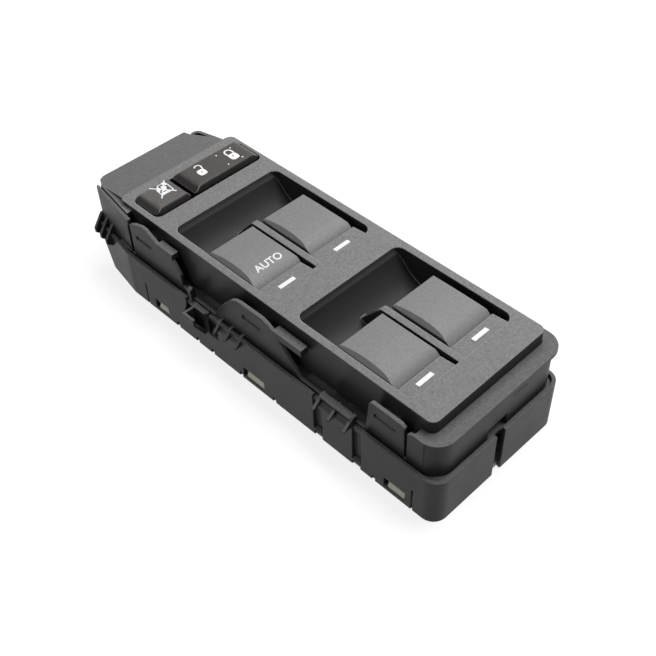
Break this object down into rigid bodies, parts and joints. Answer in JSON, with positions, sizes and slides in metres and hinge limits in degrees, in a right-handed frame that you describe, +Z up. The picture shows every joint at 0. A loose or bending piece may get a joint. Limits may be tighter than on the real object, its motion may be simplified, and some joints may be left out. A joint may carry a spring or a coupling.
{
  "type": "power window switch",
  "caption": "Driver-side power window switch: grained bezel with finger wells and pull-up rockers, lock rocker, lockout button and a clip-in housing",
  "frame": {"origin": "centre of the bounding box at its underside, where the skirt stands", "axes": "+X along the bezel, from the lock buttons to the rear window rockers; -Y the side of the clip tabs; +Z up through the bezel"},
  "size_m": [0.2, 0.0776, 0.0452],
  "materials": {
    "bezel": "fine grain",
    "housing": "satin",
    "base_cover": "natural",
    "carrier": "natural",
    "board": "solder mask",
    "socket": "satin",
    "pins": "plated",
    "rocker": "satin",
    "button": "satin",
    "knob": "natural",
    "switch": "satin",
    "lamp": "clear",
    "chip": "matte",
    "small": "matte"
  },
  "bodies": {
    "base": {"bezel": "bezel", "housing": "housing", "base_cover": "base_cover", "switch_carrier": "carrier", "circuit_board": "board", "connector_header": "socket", "connector_pins": "pins", "slide_switch_bodies": "switch", "lock_slide_switch": "switch", "lockout_switch": "switch", "board_lamps": "lamp", "control_chip": "chip", "board_parts": "small"},
    "driver_window_rocker": {"driver_window_rocker": "rocker"},
    "driver_slide_knob": {"driver_slide_knob": "knob"},
    "passenger_window_rocker": {"passenger_window_rocker": "rocker"},
    "passenger_slide_knob": {"passenger_slide_knob": "knob"},
    "rear_window_rocker_near": {"rear_window_rocker_near": "rocker"},
    "rear_slide_knob_near": {"rear_slide_knob_near": "knob"},
    "rear_window_rocker_far": {"rear_window_rocker_far": "rocker"},
    "rear_slide_knob_far": {"rear_slide_knob_far": "knob"},
    "lock_rocker": {"lock_rocker": "button"},
    "lock_slide_knob": {"lock_slide_knob": "knob"},
    "lockout_button": {"lockout_button": "button", "lockout_plunger": "switch"}
  },
  "joints": [
    {"name": "driver_window_rocker_hinge", "type": "hinge", "parent": "base", "child": "driver_window_rocker", "pos_m": [-0.006, -0.0113, 0.0332], "axis": [0, 1, 0], "range_deg": [-8, 8], "stiffness_Nm_per_rad": 0.35},
    {"name": "driver_slide_knob_slide", "type": "slide", "parent": "base", "child": "driver_slide_knob", "axis": [1, 0, 0], "range_m": [-0.0024, 0.0024]},
    {"name": "passenger_window_rocker_hinge", "type": "hinge", "parent": "base", "child": "passenger_window_rocker", "pos_m": [-0.006, 0.0163, 0.0332], "axis": [0, 1, 0], "range_deg": [-8, 8], "stiffness_Nm_per_rad": 0.35},
    {"name": "passenger_slide_knob_slide", "type": "slide", "parent": "base", "child": "passenger_slide_knob", "axis": [1, 0, 0], "range_m": [-0.0024, 0.0024]},
    {"name": "rear_window_rocker_near_hinge", "type": "hinge", "parent": "base", "child": "rear_window_rocker_near", "pos_m": [0.0638, -0.0113, 0.0332], "axis": [0, 1, 0], "range_deg": [-8, 8], "stiffness_Nm_per_rad": 0.35},
    {"name": "rear_slide_knob_near_slide", "type": "slide", "parent": "base", "child": "rear_slide_knob_near", "axis": [1, 0, 0], "range_m": [-0.0024, 0.0024]},
    {"name": "rear_window_rocker_far_hinge", "type": "hinge", "parent": "base", "child": "rear_window_rocker_far", "pos_m": [0.0638, 0.0163, 0.0332], "axis": [0, 1, 0], "range_deg": [-8, 8], "stiffness_Nm_per_rad": 0.35},
    {"name": "rear_slide_knob_far_slide", "type": "slide", "parent": "base", "child": "rear_slide_knob_far", "axis": [1, 0, 0], "range_m": [-0.0024, 0.0024]},
    {"name": "lock_rocker_hinge", "type": "hinge", "parent": "base", "child": "lock_rocker", "pos_m": [-0.0651, 0.0144, 0.0374], "axis": [1, 0, 0], "range_deg": [-4.5, 4.5], "stiffness_Nm_per_rad": 0.35},
    {"name": "lock_slide_knob_slide", "type": "slide", "parent": "base", "child": "lock_slide_knob", "axis": [0, 1, 0], "range_m": [-0.0016, 0.0016]},
    {"name": "lockout_button_slide", "type": "slide", "parent": "base", "child": "lockout_button", "axis": [0, 0, -1], "range_m": [0, 0.0025], "stiffness_N_per_m": 800}
  ],
  "couplings": [
    {"joint": "driver_slide_knob_slide", "follows": "driver_window_rocker_hinge", "m_per_rad": -0.0148},
    {"joint": "passenger_slide_knob_slide", "follows": "passenger_window_rocker_hinge", "m_per_rad": -0.0148},
    {"joint": "rear_slide_knob_near_slide", "follows": "rear_window_rocker_near_hinge", "m_per_rad": -0.0148},
    {"joint": "rear_slide_knob_far_slide", "follows": "rear_window_rocker_far_hinge", "m_per_rad": -0.0148},
    {"joint": "lock_slide_knob_slide", "follows": "lock_rocker_hinge", "m_per_rad": 0.019}
  ]
}
